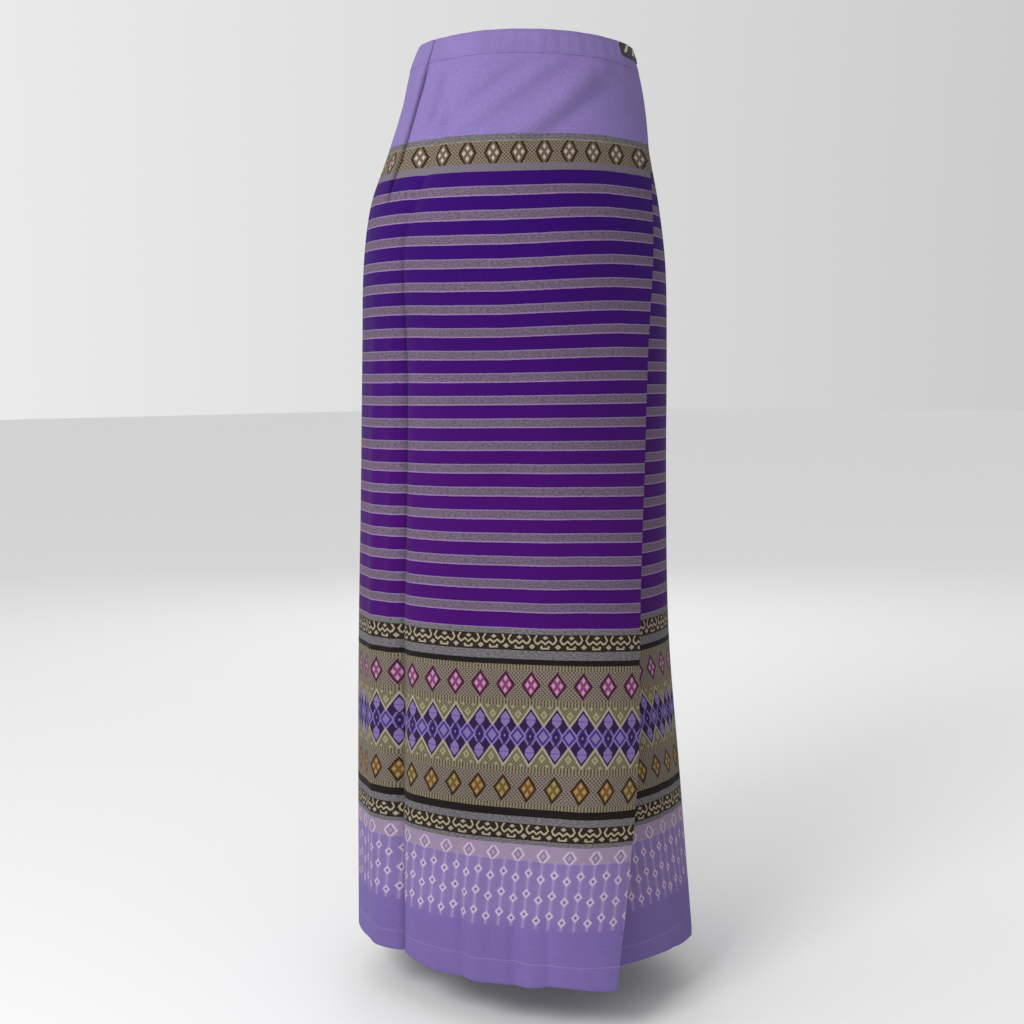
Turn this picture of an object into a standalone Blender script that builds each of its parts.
"""Wrap-style sinh skirt, worn: a long wrapped tube of woven cloth with a 25 mm waistband.

The cloth goes almost one and a half times round the figure.  It starts under the front, runs round
the left side and the back to the right side seam, and crosses the front again as the outer flap,
whose free edge hangs open.  Every piece is one closed wall, bent to the worn form by the functions
below.

Frame: metres, +Z up, the front faces -Y and the wearer's left is +X.  The origin is the middle of
the waistband's ring.  "drop" is the distance down from the waist's top edge.  "wrap" is the angle
in degrees along the wrap: 0 is the centre front of the under layer, 90 the left side, 180 the
centre back, 270 the right side and 360 the centre front of the outer flap.
"""
import math
from collections import namedtuple

import bmesh
import bpy
from mathutils import Vector

# ---------------------------------------------------------------- driving dimensions, metres
FULL_LENGTH = 0.917          # straight down from the waist's top edge to the hem of the flap
UNDER_LENGTH = 0.907         # the under panel is pulled up a little as it is wrapped
BAND_HEIGHT = 0.025
CLOTH_WALL = 0.002
HEM_TURN = 0.024             # depth of the turned-up hem
HEM_WALL = 0.003             # cloth and its turning together
BAND_WALL = 0.003
TAB_WALL = 0.0014
TAB_MARGIN = 0.003           # from the band's edges to the tab's
SEAM_GAP = 0.0003            # between pieces that are sewn or laid on each other
CORNER_POWER = 2.15          # a ring is a slightly squared ellipse
RING_SHIFT = 0.014           # the widest line lies this far behind the ring's middle

# Wrap angles, degrees
UNDER_EDGE = -55.0           # hidden free edge of the under panel
LEFT_SEAM = 90.0
CENTRE_FRONT = 360.0
TAB_START = 368.0
TAB_END = 393.0

# One row for each ring of the worn form, from the waist down.
Ring = namedtuple("Ring", "drop half_width front back centre_x")
RINGS = (
    Ring(0.000, 0.113, 0.112, 0.084, 0.000),
    Ring(0.025, 0.122, 0.121, 0.088, -0.003),
    Ring(0.060, 0.129, 0.129, 0.095, -0.005),
    Ring(0.110, 0.140, 0.138, 0.112, -0.010),
    Ring(0.160, 0.154, 0.147, 0.124, -0.014),
    Ring(0.220, 0.161, 0.152, 0.134, -0.014),
    Ring(0.300, 0.161, 0.155, 0.139, -0.015),
    Ring(0.450, 0.159, 0.160, 0.143, -0.020),
    Ring(0.600, 0.160, 0.167, 0.146, -0.024),
    Ring(0.750, 0.163, 0.181, 0.153, -0.022),
    Ring(0.920, 0.163, 0.197, 0.166, -0.018),
)

# The right side seam, the outer flap's free edge, and how far that edge stands off the under panel.
Edge = namedtuple("Edge", "drop seam flap lift")
EDGES = (
    Edge(0.000, 272.0, 396.0, 0.0040),
    Edge(0.025, 272.0, 395.0, 0.0040),
    Edge(0.070, 264.0, 388.0, 0.0045),
    Edge(0.130, 262.0, 379.0, 0.0065),
    Edge(0.200, 263.0, 371.5, 0.0110),
    Edge(0.300, 264.0, 364.5, 0.0160),
    Edge(0.450, 264.0, 360.0, 0.0210),
    Edge(0.600, 264.0, 355.5, 0.0260),
    Edge(0.700, 264.0, 351.5, 0.0280),
    Edge(0.800, 264.0, 345.0, 0.0300),
    Edge(0.920, 263.0, 337.0, 0.0320),
)
FLAP_CLEARANCE = 0.0038      # least distance between the middles of flap and under panel
LIFT_STARTS = 8.0            # degrees past the seam before the flap rises over the lower layer
LIFT_IS_CLEAR = 30.0         # degrees past the seam where it has its clearance

# Soft folds: a ridge (height > 0) or a trough (height < 0) along a line on the cloth.
Fold = namedtuple("Fold", "top_drop top_wrap end_drop end_wrap width height")
FOLDS = (
    # outer flap: drag lines of the yoke, side crease, hem
    Fold(0.040, 286.0, 0.220, 273.0, 0.010, -0.0030),
    Fold(0.180, 272.0, 0.940, 270.5, 0.011, -0.0050),
    Fold(0.030, 343.0, 0.115, 298.0, 0.013, 0.0022),
    Fold(0.052, 308.0, 0.120, 275.0, 0.012, 0.0022),
    Fold(0.640, 344.0, 0.940, 312.0, 0.022, 0.0030),
    Fold(0.760, 292.0, 0.940, 290.0, 0.012, -0.0022),
    Fold(0.620, 271.5, 0.940, 270.5, 0.012, -0.0040),
    # back, from the right side to the left
    Fold(0.150, 257.0, 0.940, 256.0, 0.012, 0.0030),
    Fold(0.300, 220.0, 0.940, 214.0, 0.016, -0.0040),
    Fold(0.420, 188.0, 0.940, 192.0, 0.020, 0.0050),
    Fold(0.260, 152.0, 0.940, 156.0, 0.016, -0.0045),
    Fold(0.160, 116.0, 0.940, 114.0, 0.012, 0.0035),
    Fold(0.180, 102.0, 0.940, 101.0, 0.011, -0.0040),
    # under panel
    Fold(0.200, 76.0, 0.940, 72.0, 0.014, 0.0030),
    Fold(0.620, 56.0, 0.940, 48.0, 0.014, -0.0030),
)

# Cells of the walls: the panels share their rows, so that their seams meet point to point.
PANEL_ROWS = 27
ROW_GRADING = 1.25           # rows are closer where the form curves, at the waist
BAND_ROWS = 2
FLAP_COLUMNS = 26
BACK_COLUMNS = 30
UNDER_COLUMNS = 24
TAB_COLUMNS = 6

# sRGB colours seen from a few steps away, and the roughness of woven cotton
LAVENDER = (0.53, 0.43, 0.71)
STRIPED_PURPLE = (0.34, 0.22, 0.50)
DARK_BRAID = (0.14, 0.11, 0.12)
CLOTH_ROUGHNESS = 0.85


# ---------------------------------------------------------------- the worn form
def read_row(rows, drop, column):
    """Value of a column at a drop, on a smooth curve through the table's rows."""
    drops = [row.drop for row in rows]
    values = [getattr(row, column) for row in rows]
    last = len(rows) - 1

    def slope(i):
        before, after = max(i - 1, 0), min(i + 1, last)
        return (values[after] - values[before]) / (drops[after] - drops[before])

    index = next((i for i in range(last) if drop <= drops[i + 1]), last - 1)
    span = drops[index + 1] - drops[index]
    t = (drop - drops[index]) / span
    ease = t * t * (3 - 2 * t)
    bend = span * t * (1 - t) * ((1 - t) * slope(index) - t * slope(index + 1))
    return values[index] + (values[index + 1] - values[index]) * ease + bend


def smooth_step(value):
    t = min(max(value, 0.0), 1.0)
    return t * t * (3 - 2 * t)


def ring_point(wrap, drop):
    """A point of the bare form, and the level direction that leads out of it."""
    sine = math.sin(math.radians(wrap))
    cosine = math.cos(math.radians(wrap))
    half_width = read_row(RINGS, drop, "half_width")
    depth = read_row(RINGS, drop, "front" if cosine > 0 else "back")
    power = 2 / CORNER_POWER
    point = Vector((
        read_row(RINGS, drop, "centre_x") + half_width * math.copysign(abs(sine) ** power, sine),
        RING_SHIFT - depth * math.copysign(abs(cosine) ** power, cosine),
        BAND_HEIGHT / 2 - drop))
    out = Vector((
        math.copysign(abs(sine) ** (2 - power), sine) / half_width,
        -math.copysign(abs(cosine) ** (2 - power), cosine) / depth,
        0.0))
    return point, out.normalized()


def flap_lift(wrap, drop):
    """How far the cloth lies outside the bare form: nothing until the flap crosses the front."""
    past_seam = wrap - read_row(EDGES, drop, "seam")
    clear = smooth_step((past_seam - LIFT_STARTS) / (LIFT_IS_CLEAR - LIFT_STARTS))
    overlap_start = CENTRE_FRONT + UNDER_EDGE
    edge = read_row(EDGES, drop, "flap")
    opening = smooth_step((wrap - overlap_start) / (edge - overlap_start))
    return FLAP_CLEARANCE * clear + (read_row(EDGES, drop, "lift") - FLAP_CLEARANCE) * opening


def fold_height(wrap, drop):
    """Sum of the soft folds at a place on the cloth."""
    total = 0.0
    for fold in FOLDS:
        along = (drop - fold.top_drop) / (fold.end_drop - fold.top_drop)
        if not 0 < along < 1:
            continue
        line = fold.top_wrap + (fold.end_wrap - fold.top_wrap) * along
        away = math.radians(wrap - line) * read_row(RINGS, drop, "half_width") / fold.width
        fade = smooth_step(3 * along)
        if fold.end_drop < FULL_LENGTH:
            fade *= smooth_step(3 * (1 - along))
        total += fold.height * fade * math.exp(-away * away)
    return total


def cloth_point(wrap, drop):
    """Middle of the cloth's wall."""
    point, out = ring_point(wrap, drop)
    return point + out * (flap_lift(wrap, drop) + fold_height(wrap, drop))


def cloth_normal(wrap, drop):
    """Direction out of the cloth, from its two slopes."""
    turn, fall = 0.2, 0.002
    across = cloth_point(wrap + turn, drop) - cloth_point(wrap - turn, drop)
    down = cloth_point(wrap, drop + fall) - cloth_point(wrap, drop - fall)
    return down.cross(across).normalized()


# ---------------------------------------------------------------- where the pieces end
def under_start(drop):
    return UNDER_EDGE


def left_seam(drop):
    return LEFT_SEAM


def right_seam(drop):
    return read_row(EDGES, drop, "seam")


def flap_edge(drop):
    return read_row(EDGES, drop, "flap")


def tab_start(drop):
    return TAB_START


def tab_end(drop):
    return TAB_END


def hem_drop(wrap):
    """The hem is level on the flap and rises across the back to the under panel."""
    rise = smooth_step((wrap - LEFT_SEAM) / 180.0)
    return UNDER_LENGTH + (FULL_LENGTH - UNDER_LENGTH) * rise


def degrees_of_gap(drop):
    """Half a seam gap as an angle, on the side where the ring is narrowest."""
    return math.degrees(SEAM_GAP / 2 / read_row(RINGS, drop, "back"))


# ---------------------------------------------------------------- making the walls
Wall = namedtuple("Wall", "name starts ends top bottom columns rows thickness proud colour")


def cell_place(wall, across, down):
    """Wrap and drop of a cell corner; across and down run from 0 to 1 over the wall."""
    reaches_hem = wall.bottom is None
    nominal_bottom = FULL_LENGTH if reaches_hem else wall.bottom

    def drop_at(bottom):
        if not reaches_hem:
            return wall.top + (bottom - wall.top) * down
        above_turn = (wall.rows - 1) / wall.rows
        turn = bottom - HEM_TURN
        if down > above_turn + 1e-6:
            return bottom
        return wall.top + (turn - wall.top) * (down / above_turn) ** ROW_GRADING

    drop = drop_at(nominal_bottom)
    start = wall.starts(drop) + degrees_of_gap(drop)
    end = wall.ends(drop) - degrees_of_gap(drop)
    wrap = start + (end - start) * across
    if reaches_hem:
        drop = drop_at(hem_drop(wrap))
    return wrap, drop


def wall_corner(wall, across, down, side):
    """Corner of a cell on the outside (side 1) or the inside (side -1) of a wall."""
    wrap, drop = cell_place(wall, across, down)
    half = wall.thickness / 2
    if wall.bottom is None and side < 0 and drop > hem_drop(wrap) - HEM_TURN - 1e-6:
        half += HEM_WALL - CLOTH_WALL
    return cloth_point(wrap, drop) + cloth_normal(wrap, drop) * (wall.proud + side * half)


def make_wall(wall):
    """A flat grid becomes the outside, its extrusion the inside and the rims between them."""
    shape = bmesh.new()
    bmesh.ops.create_grid(shape, x_segments=wall.columns, y_segments=wall.rows, size=0.5)
    outside = shape.verts[:]
    extruded = bmesh.ops.extrude_face_region(shape, geom=shape.faces[:])
    inside = [item for item in extruded["geom"] if isinstance(item, bmesh.types.BMVert)]
    for corners, side in ((outside, 1), (inside, -1)):
        for corner in corners:
            corner.co = wall_corner(wall, corner.co.x + 0.5, 0.5 - corner.co.y, side)
    bmesh.ops.recalc_face_normals(shape, faces=shape.faces[:])
    mesh = bpy.data.meshes.new(wall.name)
    shape.to_mesh(mesh)
    shape.free()
    mesh.shade_smooth()
    mesh.set_sharp_from_angle(angle=math.radians(50))
    mesh.materials.append(cloth_material(wall.name, wall.colour))
    piece = bpy.data.objects.new(wall.name, mesh)
    bpy.context.scene.collection.objects.link(piece)
    return piece


def cloth_material(name, colour):
    material = bpy.data.materials.new(name)
    material.use_nodes = True
    shader = material.node_tree.nodes["Principled BSDF"]
    linear = [channel ** 2.2 for channel in colour]
    shader.inputs["Base Color"].default_value = (*linear, 1.0)
    shader.inputs["Roughness"].default_value = CLOTH_ROUGHNESS
    shader.inputs["Metallic"].default_value = 0.0
    return material


def panel(name, starts, ends, columns):
    return Wall(name, starts, ends, BAND_HEIGHT + SEAM_GAP, None, columns, PANEL_ROWS,
                CLOTH_WALL, 0.0, STRIPED_PURPLE)


def band(name, starts, ends, columns):
    return Wall(name, starts, ends, 0.0, BAND_HEIGHT, columns, BAND_ROWS,
                BAND_WALL, 0.0, LAVENDER)


WALLS = (
    panel("front_flap", right_seam, flap_edge, FLAP_COLUMNS),
    panel("back_panel", left_seam, right_seam, BACK_COLUMNS),
    panel("under_panel", under_start, left_seam, UNDER_COLUMNS),
    band("waistband_front", right_seam, flap_edge, FLAP_COLUMNS),
    band("waistband_back", left_seam, right_seam, BACK_COLUMNS),
    band("waistband_under", under_start, left_seam, UNDER_COLUMNS),
    Wall("closing_tab", tab_start, tab_end, TAB_MARGIN, BAND_HEIGHT - TAB_MARGIN, TAB_COLUMNS,
         BAND_ROWS, TAB_WALL, BAND_WALL / 2 + SEAM_GAP + TAB_WALL / 2, DARK_BRAID),
)

for old in list(bpy.data.objects):
    bpy.data.objects.remove(old, do_unlink=True)
for each in WALLS:
    make_wall(each)
